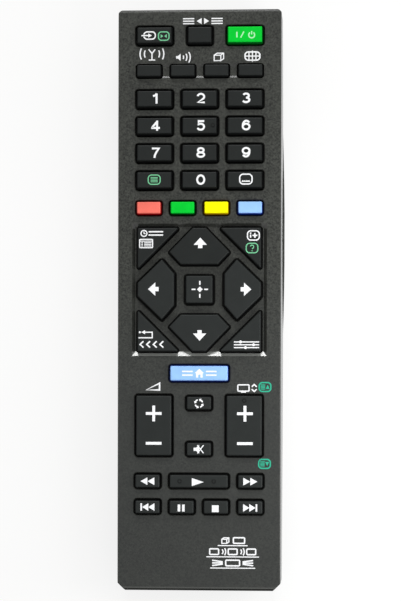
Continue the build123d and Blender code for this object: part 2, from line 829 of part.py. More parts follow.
def all_nodes():
    """Every separate piece by name."""
    dots = feel_dots()
    nodes = {name: push_key(name, outline, dots.get(name, ())) for name, outline in push_key_holes().items()}
    nodes |= {name: rocker_key(outline, dots.get(name, ())) for name, outline in rocker_holes().items()}
    nodes["front_cover"] = front_cover()
    nodes["rear_cover"] = rear_cover()
    nodes["battery_cover"] = battery_cover()
    nodes["keypad_sheet"] = keypad_sheet()
    nodes["circuit_board"] = circuit_board()
    nodes["ir_led"] = infrared_lamp()
    nodes["microcontroller"] = microcontroller()
    nodes["capacitor"] = capacitor()
    nodes["resonator"] = hanging_part(resonator_size, resonator_x, head_y - resonator_drop)
    nodes["driver_transistor"] = hanging_part(transistor_size, transistor_x, head_y - transistor_drop)
    nodes["chip_resistors"] = chip_resistors()
    nodes["battery_1"] = cell(-1, 1)
    nodes["battery_2"] = cell(1, -1)
    nodes["contact_bridge"] = contact_bridge()
    nodes["contact_positive"] = contact_positive()
    nodes["contact_negative"] = contact_negative()
    return nodes


os.makedirs("parts", exist_ok=True)
for node, shape in all_nodes().items():
    solids = shape if isinstance(shape, list) else [shape]
    solids = [solid for piece in solids for solid in piece.solids()]
    export_step(Compound(children=solids, label=node), f"parts/{node}.step")
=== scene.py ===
from math import cos, hypot, pi, radians, sin

import bmesh
import bpy
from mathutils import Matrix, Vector


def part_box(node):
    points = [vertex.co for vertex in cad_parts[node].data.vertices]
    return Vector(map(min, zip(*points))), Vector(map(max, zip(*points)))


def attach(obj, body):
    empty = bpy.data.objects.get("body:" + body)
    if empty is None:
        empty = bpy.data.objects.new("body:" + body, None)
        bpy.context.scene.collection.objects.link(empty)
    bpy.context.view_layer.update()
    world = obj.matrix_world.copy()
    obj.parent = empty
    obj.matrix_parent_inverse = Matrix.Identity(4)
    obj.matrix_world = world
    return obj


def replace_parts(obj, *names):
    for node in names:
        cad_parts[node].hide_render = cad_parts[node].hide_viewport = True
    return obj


# The remote lies on its back: X is across, +Y points to its head, +Z stands out of the keys.
# Sizes are written in millimetres and turned into metres by MM.
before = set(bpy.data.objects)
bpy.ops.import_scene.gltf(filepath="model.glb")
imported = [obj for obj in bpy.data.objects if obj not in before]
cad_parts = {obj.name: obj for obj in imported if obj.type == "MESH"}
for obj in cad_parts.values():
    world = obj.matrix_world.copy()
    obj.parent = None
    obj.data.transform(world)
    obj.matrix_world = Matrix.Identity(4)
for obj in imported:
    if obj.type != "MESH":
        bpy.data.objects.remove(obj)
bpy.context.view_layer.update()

MM = 0.001
FACE = 19.0              # height of the face
KEY_TOP = 20.3
COLUMN = 13.65           # pitch of the three wide key columns
DIGIT_Y = 60.7           # the row of 1, 2 and 3
DIGIT_PITCH = 8.18
SHADED_KEYS_ABOVE = 5.0         # keys that lie wholly above this have a rubber painted darker as shade
PAD_Y = 3.1
HOME_Y = -22.2
JUMP_Y = -31.2
ROCKER_Y = -38.0
MUTE_Y = -45.1
TRANSPORT_Y = (-54.8, -62.6)
TRANSPORT_X = 15.525
CELL_X = 5.55            # the two cells' axes
CELL_Z = 7.05
BAY_TAIL = -75.4         # the battery bay's end walls
BAY_HEAD = -26.0
PLATE = 0.4              # contact sheet
PLATE_WIDTH = 8.4
PLATE_HEIGHT = 8.6
TAB_WIDTH = 2.4
WIRE = 0.5               # contact springs
WIRE_SIDES = 8
SPRING_LENGTH = 4.0
SPRING_FOOT = 2.95       # radius of the widest turn
SPRING_TIP = 1.75        # and of the narrowest
SPRING_TURNS = 4
SPRING_STEPS = 24
LABEL_WIDTH = 29.4
LABEL_HEIGHT = 21.4
LABEL_Y = 0.8
LABEL_SEAT = 0.15        # depth of the seat in the back
LABEL_THICKNESS = 0.12
LABEL_SINK = 0.01        # the film reaches this far into the cover
INK_RISE = 0.025         # a printed mark above its surface
INK_ROOT = 0.06          # and how far it reaches down into it
INK_LAYER = 0.002        # each further stroke of a mark lies this much higher
STROKE = 0.42            # usual width of a printed line
FIGURE_STROKE = 0.6
FIGURE_WIDTH = 1.08      # the figures are drawn this much wider
FIGURE_SHIFT = 0.4       # and stand this far right of their keys' middles
FIGURE_SIDES = 36        # points of a closed ring in a figure
BADGE_PITCH = 3.4
NOISE_LOW = 0.3          # a noise seldom leaves these two
NOISE_HIGH = 0.7
X, Y, Z = range(3)


# Node trees
class NodeTree:
    """The nodes of a material or world, put together step by step."""

    def __init__(self, owner, output, coords):
        owner.use_nodes = True
        self.tree = owner.node_tree
        self.tree.nodes.clear()
        self.output = self.add(output)
        self.coords = self.add("ShaderNodeTexCoord").outputs[coords]

    def add(self, kind, inputs=(), **settings):
        """A node with its settings; inputs are (socket, value or output) pairs."""
        node = self.tree.nodes.new(kind)
        for key, value in settings.items():
            setattr(node, key, value)
        for socket, value in inputs:
            self.put(node.inputs[socket], value)
        return node

    def put(self, socket, value):
        """Links an output to a socket, or sets a plain value on it."""
        if isinstance(value, bpy.types.NodeSocket):
            self.tree.links.new(value, socket)
        else:
            socket.default_value = value

    def span(self, value, low, high, to_low=0.0, to_high=1.0):
        """value from low..high carried over to another range, and kept inside it."""
        node = self.add("ShaderNodeMapRange", [("Value", value), ("From Min", low), ("From Max", high),
                                               ("To Min", to_low), ("To Max", to_high)])
        return node.outputs[0]

    def fade(self, value, start, end):
        """1 up to start, and down to 0 at end."""
        return self.span(value, start, end, 1.0, 0.0)

    def between(self, value, low, high, soft):
        """1 between low and high, with edges that blur by soft to both sides."""
        above = self.span(value, low - soft, low + soft)
        return self.product(above, self.fade(value, high - soft, high + soft))

    def math(self, operation, *values):
        """One calculation with values or outputs."""
        node = self.add("ShaderNodeMath", operation=operation)
        for i, value in enumerate(values):
            self.put(node.inputs[i], value)
        return node.outputs[0]

    def product(self, first, second):
        """first times second."""
        return self.math("MULTIPLY", first, second)

    def mix(self, factor, low, high):
        """A colour between two colours."""
        node = self.add("ShaderNodeMix", data_type="RGBA")
        self.put(node.inputs[0], factor)
        self.put(node.inputs[6], rgba(low))
        self.put(node.inputs[7], rgba(high))
        return node.outputs[2]

    def tint(self, base, mask, share, colour):
        """base, with that share of a colour laid over it where the mask is 1."""
        return self.mix(self.product(mask, share), base, colour)

    def axis(self, source, index):
        """One component of a vector."""
        return self.add("ShaderNodeSeparateXYZ", [(0, source)]).outputs[index]


class Shader(NodeTree):
    """A material with what the surfaces of the remote need."""

    def __init__(self, name):
        self.material = bpy.data.materials.new(name)
        super().__init__(self.material, "ShaderNodeOutputMaterial", "Object")

    def noise(self, size, detail=2.0, rough=0.5, stretch=None):
        """Noise whose grains are about size millimetres wide, from 0 to 1."""
        where = self.coords
        if stretch:
            where = self.add("ShaderNodeMapping", [("Vector", where), ("Scale", stretch)]).outputs[0]
        node = self.add("ShaderNodeTexNoise", [("Vector", where), ("Scale", 1 / (size * MM)),
                                               ("Detail", detail), ("Roughness", rough)])
        return node.outputs[0]

    def spread(self, noise, to_low=0.0, to_high=1.0):
        """A noise's usual range carried over to another one."""
        return self.span(noise, NOISE_LOW, NOISE_HIGH, to_low, to_high)

    def place(self, index):
        """The place along one axis in millimetres, at rest."""
        return self.math("DIVIDE", self.axis(self.coords, index), MM)

    def facing(self, index):
        """How squarely a surface looks along one axis: 1 the same way, 0 across it, -1 the other way."""
        normal = self.add("ShaderNodeTexCoord").outputs["Normal"]
        return self.axis(normal, index)

    def worn_edges(self, radius, low=0.02, high=0.2):
        """1 along convex edges, found by rounding the normals over a radius in millimetres."""
        soft = self.add("ShaderNodeBevel", [("Radius", radius * MM)], samples=6).outputs[0]
        sharp = self.add("ShaderNodeNewGeometry").outputs["Normal"]
        same = self.add("ShaderNodeVectorMath", [(0, soft), (1, sharp)], operation="DOT_PRODUCT")
        return self.span(self.math("SUBTRACT", 1.0, same.outputs["Value"]), low, high)

    def bump(self, height, depth, strength=1.0, under=None):
        """A bump of the given depth in millimetres, over another bump if there is one."""
        node = self.add("ShaderNodeBump", [("Height", height), ("Strength", strength),
                                           ("Distance", depth * MM)])
        if under is not None:
            self.put(node.inputs["Normal"], under)
        return node.outputs[0]

    def principled(self, **sockets):
        """The surface shader; socket names have _ for a space."""
        node = self.add("ShaderNodeBsdfPrincipled")
        for key, value in sockets.items():
            self.put(node.inputs[key.replace("_", " ")], value)
        self.put(self.output.inputs["Surface"], node.outputs[0])
        return self.material

    def surface(self, base, noise, rough, depth, strength, **sockets):
        """A surface whose roughness, from one value to another, and bumps come from one noise."""
        return self.principled(Base_Color=base, Roughness=self.spread(noise, *rough),
                               Normal=self.bump(noise, depth, strength), **sockets)


def rgba(colour):
    """A colour socket passes through; three numbers get their alpha."""
    if isinstance(colour, bpy.types.NodeSocket):
        return colour
    return (*colour, 1.0)


def srgb(red, green, blue):
    """A screen colour, 0 to 255, as the linear colour that shaders use."""
    def linear(value):
        value /= 255
        return value / 12.92 if value <= 0.04045 else ((value + 0.055) / 1.055) ** 2.4
    return linear(red), linear(green), linear(blue)


def darker(colour, share):
    """That share of a colour's brightness; a share over 1 makes it paler."""
    return tuple(share * value for value in colour)


# The casing
def casing_material(name, arrow=False):
    """Spark-eroded ABS: grained where it is level, glossy where it is steep, smoother where it is held."""
    s = Shader(name)
    steep_below, level_above = 0.88, 0.97
    level = s.span(s.facing(Z), steep_below, level_above)
    held_to, grained_from, smoothed = -35.0, 15.0, 0.6
    held = s.span(s.place(Y), held_to, grained_from, smoothed, 0.0)
    grain = s.noise(0.62, detail=3, rough=0.8)
    # Two bands on the tail's rounded edge are painted: a paler one as painted highlight, and a darker one at
    # its outer part as painted shade.
    tail_painted_highlight = tail_mask(s, -0.12, -0.02)
    tail_painted_shade = tail_mask(s, -0.45, -0.28)
    base = casing_colour(s, grain, level, held)
    # Painted highlight: a paler band along the tail's rounded edge.
    base = s.tint(base, tail_painted_highlight, 0.5, srgb(92, 93, 90))
    # Painted shade: a dark band on the outer part of the tail's rounded edge, where the gloss is also turned
    # down to edge_gloss.
    base = s.tint(base, tail_painted_shade, 0.75, srgb(10, 11, 10))
    # Painted highlight: the tail wall of the sunk square is made pale.
    base = s.tint(base, sink_tail_wall_highlight(s), 0.8, srgb(140, 142, 138))
    steep_polish, steep_gloss, level_gloss, edge_gloss = 0.36, 0.5, 0.28, 0.04
    rough = s.math("SUBTRACT", s.spread(grain, 0.46, 0.6), s.span(level, 0, 1, steep_polish, 0.0))
    gloss = s.product(s.span(level, 0, 1, steep_gloss, level_gloss), s.span(tail_painted_shade, 0, 1, 1.0, edge_gloss))
    normal = casing_relief(s, grain, level, held)
    if arrow:
        sunk, arrow_depth = door_arrow(s), 0.25
        # Painted shade: the sunk arrow is tinted darker, as shade in its hollow.
        base = s.tint(base, sunk, 0.5, srgb(24, 25, 24))
        normal = s.bump(sunk, -arrow_depth, 1.0, normal)
    return s.principled(Base_Color=base, Roughness=rough, Normal=normal, Specular_IOR_Level=gloss)


def casing_colour(s, grain, level, held):
    """Dark pits and paler crests with blotches; plainer where it is held or steep, rubbed pale at edges."""
    pit, crest, blotch, cloud = srgb(9, 11, 9), srgb(67, 69, 64), srgb(62, 64, 58), srgb(35, 36, 33)
    polished, plain, rubbed = srgb(47, 49, 48), srgb(48, 49, 46), srgb(92, 92, 86)
    mottle = s.span(s.noise(1.5, rough=0.6), 0.42, 0.68)
    clouds = s.spread(s.noise(9))
    base = s.mix(s.span(grain, 0.35, 0.65), pit, crest)
    base = s.tint(base, mottle, 0.3, blotch)
    base = s.tint(base, clouds, 0.25, cloud)
    base = s.mix(held, base, polished)
    base = s.mix(s.span(level, 0, 1, 0.6, 0.0), base, plain)
    return s.tint(base, s.worn_edges(0.3), 0.3, rubbed)


def casing_relief(s, grain, level, held):
    """Two depths of grain, faint on steep faces and where the casing is held."""
    pit_depth, fine_depth, steep = 0.1, 0.03, 0.02
    feel = s.math("SUBTRACT", 1.0, held)
    pits = s.bump(grain, pit_depth, s.product(s.span(level, 0, 1, steep, 0.7), feel))
    fine = s.noise(0.28, detail=1)
    return s.bump(fine, fine_depth, s.product(s.span(level, 0, 1, steep, 0.5), feel), pits)


def tail_mask(s, full, none):
    """1 where the tail's rounded edge faces Y by full or less, 0 where it does by none or more."""
    edge_to, face_from = -86, -85
    at_tail = s.fade(s.place(Y), edge_to, face_from)
    turned_down = s.fade(s.facing(Y), full, none)
    above_end_face = s.span(s.facing(Z), 0.15, 0.35)
    return s.product(s.product(at_tail, turned_down), above_end_face)


def sink_tail_wall_highlight(s):
    """1 on the sloping wall at the tail of the sunk square, which is painted pale as a highlight."""
    tail_y, head_y = -17.05, -15.25
    wall = s.between(s.place(Y), tail_y, head_y, 0.05)
    return s.product(wall, s.span(s.facing(Y), 0.3, 0.4))


def door_arrow(s):
    """1 inside a triangle on the battery cover's back that points the way the cover slides off."""
    width, height, tip_y, edge = 7.0, 4.6, -44.6, 0.12
    outside_z, inside_z = 0.6, 0.7
    x = s.math("ABSOLUTE", s.place(X))
    y = s.math("SUBTRACT", s.place(Y), tip_y)
    flank = s.math("SUBTRACT", s.product(y, width / 2 / height), x)
    inside = s.product(s.span(flank, 0.0, edge), s.fade(y, height - edge, height))
    return s.product(inside, s.fade(s.place(Z), outside_z, inside_z))


# Rubber, ink and the small parts
def rubber_material(name, top, side, rim, gloss=0.2, dots=()):
    """Coated silicone: a satin top in one colour, sides painted darker as shade that go black below the face
    as painted shade, and a faint paler rim that is partly wear and partly painted highlight.
    """
    s = Shader(name)
    specks = s.noise(0.3, rough=0.6)
    shade = s.mix(s.spread(s.noise(3.5)), darker(top, 0.92), darker(top, 1.06))
    shade = s.tint(shade, s.span(specks, 0.55, 0.8), 0.2, rim)
    # Painted shade: the side colour, itself a shaded copy of the top, darkens to black below the face, in the
    # gap round the key.
    walls = s.mix(s.span(s.place(Z), FACE - 0.5, FACE + 0.3), darker(side, 0.25), side)
    above = s.span(s.place(Z), KEY_TOP - 0.5, KEY_TOP - 0.12)
    base = s.mix(above, walls, shade)
    # The pale rim along the top's edges is partly wear and partly painted highlight.
    base = s.tint(base, s.product(s.worn_edges(0.22), above), 0.22, rim)
    for dot in dots:
        # Painted shade: a dark ring round the foot of each raised dot.
        base = s.tint(base, dot_shade_ring(s, dot), 0.85, darker(side, 0.3))
    return s.surface(base, specks, (0.42, 0.55), 0.012, 0.5, Specular_IOR_Level=gloss)


def dot_shade_ring(s, dot):
    """1 in a ring of painted shade round the foot of a raised dot at an x and y."""
    radius, width, soft = 0.5, 0.13, 0.08
    squares = [s.math("POWER", s.math("SUBTRACT", s.place(index), dot[index]), 2.0) for index in (X, Y)]
    distance = s.math("POWER", s.math("ADD", *squares), 0.5)
    return s.fade(s.math("ABSOLUTE", s.math("SUBTRACT", distance, radius)), width, width + soft)


def ink_material(name, colour):
    """Screen-printed ink: slightly uneven cover with a thin matt skin."""
    s = Shader(name)
    patches = s.noise(0.5, rough=0.6)
    base = s.mix(s.span(patches, 0.35, 0.75), colour, darker(colour, 0.86))
    return s.surface(base, patches, (0.45, 0.6), 0.006, 0.4, Specular_IOR_Level=0.3)


def sheet_material():
    """Matt silicone of the keypad sheet."""
    s = Shader("sheet")
    grain = s.noise(0.8, detail=3)
    base = s.mix(grain, srgb(22, 23, 23), srgb(36, 37, 37))
    return s.surface(base, grain, (0.6, 0.75), 0.02, 0.4, Specular_IOR_Level=0.25)


def board_material():
    """Green laminate with paler tracks under its lacquer and fine weave in its edges."""
    s = Shader("board")
    track_pitch = 2.2
    cells = s.add("ShaderNodeTexVoronoi", [("Vector", s.coords), ("Scale", 1 / (track_pitch * MM))],
                  feature="DISTANCE_TO_EDGE", distance="CHEBYCHEV").outputs[0]
    tracks = s.fade(cells, 0.06, 0.1)
    weave = s.noise(0.4)
    lacquer = s.mix(s.spread(weave), srgb(18, 74, 42), srgb(24, 88, 50))
    base = s.tint(lacquer, tracks, 0.7, srgb(62, 128, 76))
    return s.principled(Base_Color=base, Roughness=s.spread(weave, 0.3, 0.42),
                        Normal=s.bump(tracks, 0.03, 0.6), Coat_Weight=0.25, Coat_Roughness=0.2)


def lamp_material():
    """Smoke-tinted epoxy of an infrared lamp."""
    s = Shader("lamp")
    swirl = s.noise(2.0)
    base = s.mix(swirl, srgb(58, 52, 78), srgb(92, 84, 116))
    return s.surface(base, swirl, (0.06, 0.12), 0.01, 0.2, Transmission_Weight=0.55, IOR=1.52)


def moulded_material(name, dark, pale, size, rough):
    """Small moulded or dipped component bodies, with grains of a size in millimetres."""
    s = Shader(name)
    grain = s.noise(size, detail=3, rough=0.6)
    base = s.mix(s.spread(grain), dark, pale)
    base = s.tint(base, s.worn_edges(0.12), 0.4, darker(pale, 1.6))
    return s.surface(base, grain, (rough, rough + 0.15), 0.01, 0.5)


def metal_material(name, dark, pale, rough):
    """Plated spring steel with drawn streaks and rubbed edges."""
    s = Shader(name)
    streaks = s.noise(0.6, detail=3, rough=0.6, stretch=(6, 1, 6))
    base = s.mix(s.spread(streaks), dark, pale)
    base = s.tint(base, s.worn_edges(0.1), 0.5, darker(pale, 1.1))
    return s.surface(base, streaks, (rough, rough + 0.15), 0.006, 0.5, Metallic=1.0)


def cell_material(name, band, can):
    """A cell: a slate sleeve with a pale band, and bare steel at its ends; band and can are spans of Y."""
    s = Shader(name)
    steel_rim, soft = 0.4, 0.05
    along = s.place(Y)
    blots = s.noise(0.5)
    slate = s.mix(blots, srgb(48, 66, 88), srgb(58, 78, 102))
    pale = s.mix(blots, srgb(196, 200, 202), srgb(212, 215, 216))
    sleeve = s.mix(s.between(along, band[0], band[1], soft), slate, pale)
    sleeved = s.between(along, can[0] + steel_rim, can[1] - steel_rim, soft)
    scratches = s.noise(0.3, detail=3, rough=0.6, stretch=(1, 4, 1))
    steel = s.mix(scratches, srgb(168, 168, 166), srgb(206, 206, 204))
    rough = s.mix(sleeved, (0.28, 0.28, 0.28), (0.38, 0.38, 0.38))
    return s.principled(Base_Color=s.mix(sleeved, steel, sleeve), Metallic=s.math("SUBTRACT", 1.0, sleeved),
                        Roughness=rough, Normal=s.bump(scratches, 0.008, 0.4))


def label_material():
    """Blank silvery label film."""
    s = Shader("label")
    fibre = s.noise(0.35, detail=3, rough=0.6, stretch=(1, 5, 1))
    base = s.mix(s.spread(fibre), srgb(150, 151, 153), srgb(172, 173, 175))
    return s.surface(base, fibre, (0.38, 0.5), 0.008, 0.5, Metallic=0.35)


# Flat printed marks, drawn in millimetres about the mark's own middle
def arc(x, y, radius, start, stop, steps=20, squash=1.0):
    """Points along an arc, angles in degrees."""
    turns = [radians(start + (stop - start) * i / steps) for i in range(steps + 1)]
    return [(x + radius * cos(t), y + radius * squash * sin(t)) for t in turns]


def circle(x, y, radius, sides, squash=1.0):
    """Points once round a circle."""
    return arc(x, y, radius, 0, 360 - 360 / sides, sides - 1, squash)


def rounded(width, height, radius, steps=5):
    """A rounded rectangle's outline as a closed run of points."""
    points = []
    for side_x, side_y, start in ((1, 1, 0), (-1, 1, 90), (-1, -1, 180), (1, -1, 270)):
        corner_x = side_x * (width / 2 - radius)
        corner_y = side_y * (height / 2 - radius)
        points += arc(corner_x, corner_y, radius, start, start + 90, steps)
    return points


def screen(width, height, bulge=0.35):
    """A closed outline like an old television picture: four bulging sides with round corners."""
    points = []
    for x, y in rounded(width, height, 0.3 * height, 6):
        wider = bulge * 0.2 * (1 - (2 * y / height) ** 2)
        higher = bulge * 0.3 * (1 - (2 * x / width) ** 2)
        points.append((x * (1 + wider), y * (1 + higher)))
    return points


def shifted(points, x, y):
    """Points moved by x and y."""
    return [(px + x, py + y) for px, py in points]


def turned(points, quarters):
    """Points turned to the left about the middle by a number of quarter turns."""
    for _ in range(quarters):
        points = [(-y, x) for x, y in points]
    return points


def outline_of(points, width, closed):
    """The two edges of a line of the given width along points, with mitred corners."""
    count = len(points)
    sharpest = 0.3           # keeps the mitre of a sharp corner short
    left, right = [], []
    for i, (x, y) in enumerate(points):
        before = points[i - 1] if closed or i else points[i]
        after = points[(i + 1) % count] if closed or i < count - 1 else points[i]
        steps = [(x - before[0], y - before[1]), (after[0] - x, after[1] - y)]
        normals = [(-dy / hypot(dx, dy), dx / hypot(dx, dy)) for dx, dy in steps if hypot(dx, dy) > 1e-9]
        nx = sum(n[0] for n in normals) / len(normals)
        ny = sum(n[1] for n in normals) / len(normals)
        size = max(nx * nx + ny * ny, sharpest)
        left.append((x + nx / size * width / 2, y + ny / size * width / 2))
        right.append((x - nx / size * width / 2, y - ny / size * width / 2))
    return left, right


class Mark:
    """Ink shapes that become one thin mesh on a surface."""

    def __init__(self):
        self.mesh = bmesh.new()
        self.top = INK_RISE

    def plate(self, rings):
        """The corners, low and high, of a thin plate: one ring for a filled shape, two for a band."""
        low = [[self.mesh.verts.new((x, y, -INK_ROOT)) for x, y in ring] for ring in rings]
        high = [[self.mesh.verts.new((x, y, self.top)) for x, y in ring] for ring in rings]
        self.top += INK_LAYER
        return low, high

    def fill(self, points):
        """A filled outline."""
        (low,), (high,) = self.plate([points])
        self.mesh.faces.new(high)
        self.mesh.faces.new(low[::-1])
        for i in range(len(points)):
            j = (i + 1) % len(points)
            self.mesh.faces.new((low[i], low[j], high[j], high[i]))

    def line(self, points, width=STROKE, closed=False):
        """A line of even width through points."""
        (low_a, low_b), (high_a, high_b) = self.plate(outline_of(points, width, closed))
        count = len(points)
        for i in range(count if closed else count - 1):
            j = (i + 1) % count
            self.mesh.faces.new((high_a[i], high_b[i], high_b[j], high_a[j]))
            self.mesh.faces.new((low_a[j], low_b[j], low_b[i], low_a[i]))
            self.mesh.faces.new((low_a[i], high_a[i], high_a[j], low_a[j]))
            self.mesh.faces.new((low_b[j], high_b[j], high_b[i], low_b[i]))
        if not closed:
            for i, flip in ((0, 1), (count - 1, -1)):
                corners = [low_a[i], low_b[i], high_b[i], high_a[i]][::flip]
                self.mesh.faces.new(corners)

    def ring(self, points, width=STROKE):
        """A closed line of even width through points."""
        self.line(points, width, closed=True)

    def bar(self, x, y, width, height):
        """A filled rectangle about a middle."""
        self.fill([(x - width / 2, y - height / 2), (x + width / 2, y - height / 2),
                   (x + width / 2, y + height / 2), (x - width / 2, y + height / 2)])

    def piece(self, name, material, body, x, y, z, under=False):
        """The finished mark at a place in millimetres, riding on a body; under turns it to look down."""
        across = -MM if under else MM
        bmesh.ops.scale(self.mesh, vec=(across, MM, across), verts=self.mesh.verts)
        bmesh.ops.translate(self.mesh, vec=(x * MM, y * MM, z * MM), verts=self.mesh.verts)
        add_piece(name, self.mesh, material, body)


def add_object(name, data):
    """An object in the scene."""
    item = bpy.data.objects.new(name, data)
    bpy.context.scene.collection.objects.link(item)
    return item


def add_piece(name, mesh, material, body):
    """A finished mesh as a piece of the scene."""
    bmesh.ops.recalc_face_normals(mesh, faces=mesh.faces)
    data = bpy.data.meshes.new(name)
    mesh.to_mesh(data)
    mesh.free()
    data.materials.append(material)
    piece = add_object(name, data)
    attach(piece, body)
    return piece


# Figures, 2.5 mm wide and 3.1 mm high
def draw_figure(mark, number):
    """One of the figures 0 to 9 in strokes; a stroke of FIGURE_SIDES points is a closed ring."""
    ring = FIGURE_SIDES
    strokes = {
        0: [circle(0, 0, 0.98, ring, 1.3)],
        1: [[(0.25, -1.56), (0.25, 1.5)], [(-0.75, 0.72), (-0.1, 0.95), (0.25, 1.45)]],
        2: [arc(0, 0.42, 0.92, 168, -38, 20, 0.95) + [(-0.9, -1.28), (1.08, -1.28)]],
        3: [arc(-0.05, 0.66, 0.78, 158, -90, 20, 0.8), arc(-0.05, -0.6, 0.92, 90, -158, 20, 0.74)],
        4: [[(0.42, -1.56), (0.42, 1.5)], [(0.42, 1.2), (-0.95, -0.55), (-0.95, -0.72), (1.2, -0.72)]],
        5: [[(0.95, 1.28), (-0.62, 1.28), (-0.82, 0.05)] + arc(-0.05, -0.42, 0.95, 140, -155, 24, 0.95)],
        6: [circle(0, -0.45, 0.93, ring, 0.92), arc(0.06, -0.1, 0.98, 180, 38, 20, 1.42)],
        7: [[(-1.02, 1.28), (0.92, 1.28), (0.25, 0.2), (-0.2, -0.8), (-0.32, -1.56)]],
        8: [circle(0, 0.68, 0.8, ring, 0.78), circle(0, -0.66, 0.95, ring, 0.68)],
        9: [circle(0, 0.45, 0.93, ring, 0.92), arc(-0.06, 0.1, 0.98, 0, -142, 20, 1.42)],
    }
    for stroke in strokes[number]:
        wide = [(FIGURE_WIDTH * x, y) for x, y in stroke]
        mark.line(wide, FIGURE_STROKE, closed=len(stroke) == ring)


# Symbols
def draw_plus(mark, x=0.0, y=0.0, reach=2.38, width=0.85):
    """A plus about a place, its arms that long and wide."""
    half = width / 2
    corner = [(-reach, -half), (-half, -half), (-half, -reach)]
    cross = [point for quarters in range(4) for point in turned(corner, quarters)]
    mark.fill(shifted(cross, x, y))


def draw_minus(mark):
    """A minus as long and wide as the plus."""
    mark.bar(0, 0, 4.75, 0.85)


def draw_arrow(mark, quarters):
    """A block arrow that points up before it is turned."""
    head, height, shaft, shoulder = 4.0, 3.2, 1.3, -0.6
    shape = [(-shaft / 2, -height / 2), (shaft / 2, -height / 2), (shaft / 2, shoulder), (head / 2, shoulder),
             (0, height / 2), (-head / 2, shoulder), (-shaft / 2, shoulder)]
    mark.fill(turned(shape, quarters))


def draw_triangle(mark, x, y, width, height, facing=1):
    """An arrow head about a place; facing is 1 to the right, -1 to the left."""
    mark.fill([(x - facing * width / 2, y - height / 2), (x + facing * width / 2, y),
               (x - facing * width / 2, y + height / 2)][::facing])


def draw_source(mark):
    """An arrow into a screen that is open on its left."""
    left_x, right_x, spread = -0.35, 1.05, 0.1
    lower = arc(left_x, 0, 1.1, 195, 270, 8) + arc(right_x, -spread, 1.0, -90, 0, 8)
    upper = arc(right_x, spread, 1.0, 0, 90, 8) + arc(left_x, 0, 1.1, 90, 165, 8)
    mark.line(lower + upper, width=0.38)
    mark.line([(-2.15, 0), (0.2, 0)], width=0.36)
    draw_triangle(mark, 0.45, 0.0, 1.1, 1.3)


def draw_hold(mark):
    """A screen with two arrow heads that meet."""
    mark.ring(screen(3.0, 2.35), 0.34)
    for side in (-1, 1):
        draw_triangle(mark, side * 0.55, 0.0, 0.75, 1.2, -side)


def draw_power(mark):
    """One stroke, a slash and the standby ring."""
    ring_x = 1.85
    mark.bar(-2.6, 0.1, 0.42, 1.7)
    mark.line([(-1.45, -0.8), (-0.5, 1.0)], width=0.36)
    mark.line(arc(ring_x, -0.05, 0.88, 125, 415, 24), width=0.38)
    mark.bar(ring_x, 0.62, 0.36, 1.0)


def draw_grid(mark):
    """A wide screen crossed by lines that reach past it."""
    stroke = 0.34
    mark.ring(screen(4.1, 2.3, bulge=0.5))
    for x, reach in ((-1.05, 2.5), (1.05, 2.5), (0, 3.3)):
        mark.bar(x, 0, stroke, reach)
    mark.bar(0, 0, 4.5, stroke)


def draw_page(mark):
    """A screen with lines of text, without words."""
    mark.ring(screen(3.4, 2.6), 0.32)
    for y in (-0.66, -0.22, 0.22, 0.66):
        mark.bar(0, y, 2.15, 0.24)


def draw_subtitle(mark):
    """A screen with a dashed bar at its foot."""
    mark.ring(screen(3.5, 2.75), 0.38)
    mark.bar(0, -0.72, 2.5, 0.24)
    dashes, pitch, first_x = 4, 0.62, -0.93
    for i in range(dashes):
        mark.bar(first_x + i * pitch, -0.52, 0.4, 0.3)


def draw_list(mark):
    """A framed list."""
    stroke = 0.26
    mark.ring(rounded(3.9, 2.5, 0.25), 0.34)
    mark.bar(0, 0.72, 3.5, stroke)
    for y in (0.22, -0.26, -0.74):
        mark.bar(-1.2, y, 0.5, stroke)
        mark.bar(0.5, y, 2.2, stroke)


def draw_info(mark):
    """A screen with an upright stroke, its dot and a plus."""
    stem_x = -0.85
    mark.ring(screen(3.35, 2.6), 0.36)
    mark.bar(stem_x, -0.2, 0.4, 0.95)
    mark.bar(stem_x, 0.68, 0.42, 0.4)
    draw_plus(mark, 0.45, 0.0, 0.72, 0.42)


def draw_query(mark):
    """A screen with a question hook."""
    mark.ring(screen(3.3, 2.65), 0.32)
    mark.line(arc(0, 0.4, 0.5, 170, -60, 12) + [(0.0, -0.3)], width=0.3)
    mark.bar(0, -0.8, 0.32, 0.32)


def draw_return(mark):
    """An arrow that runs back from a corner, above a long foot."""
    arrow_y, foot_y, corner_x = 0.62, -1.05, 2.0
    mark.line([(-0.9, arrow_y), (corner_x, arrow_y), (corner_x, foot_y), (-2.15, foot_y)], width=0.36)
    draw_triangle(mark, -0.75, arrow_y, 1.15, 1.25, -1)
    mark.fill(circle(-1.75, arrow_y, 0.32, 18))


def draw_chevrons(mark):
    """Four short chevrons that point back."""
    height = 0.95
    for tip_x in (-3.4, -1.4, 0.6, 2.6):
        mark.line([(tip_x + 1.0, height), (tip_x, 0.0), (tip_x + 1.0, -height)])


def draw_options(mark):
    """Three sliders."""
    for y, knob_x in ((0.85, -1.8), (0.0, 2.1), (-0.85, -0.3)):
        mark.bar(0, y, 7.6, 0.34)
        mark.fill(circle(knob_x, y, 0.44, 20))


def draw_guide(mark):
    """A clock face and two dashes."""
    clock_x = -2.4
    mark.ring(circle(clock_x, 0, 0.9, 20), 0.34)
    mark.line([(clock_x, 0.55), (clock_x, 0.0), (-1.95, -0.1)], width=0.28)
    for y in (-0.5, 0.5):
        mark.bar(1.2, y, 4.4, STROKE)


def draw_select(mark):
    """A small diamond between four dashes."""
    reach = 0.85
    mark.fill([(0, reach), (-reach, 0), (0, -reach), (reach, 0)])
    for side in (1, -1):
        mark.bar(0, side * 1.95, STROKE, 1.2)
    for side in (1, -1):
        mark.bar(side * 1.9, 0, 1.15, STROKE)


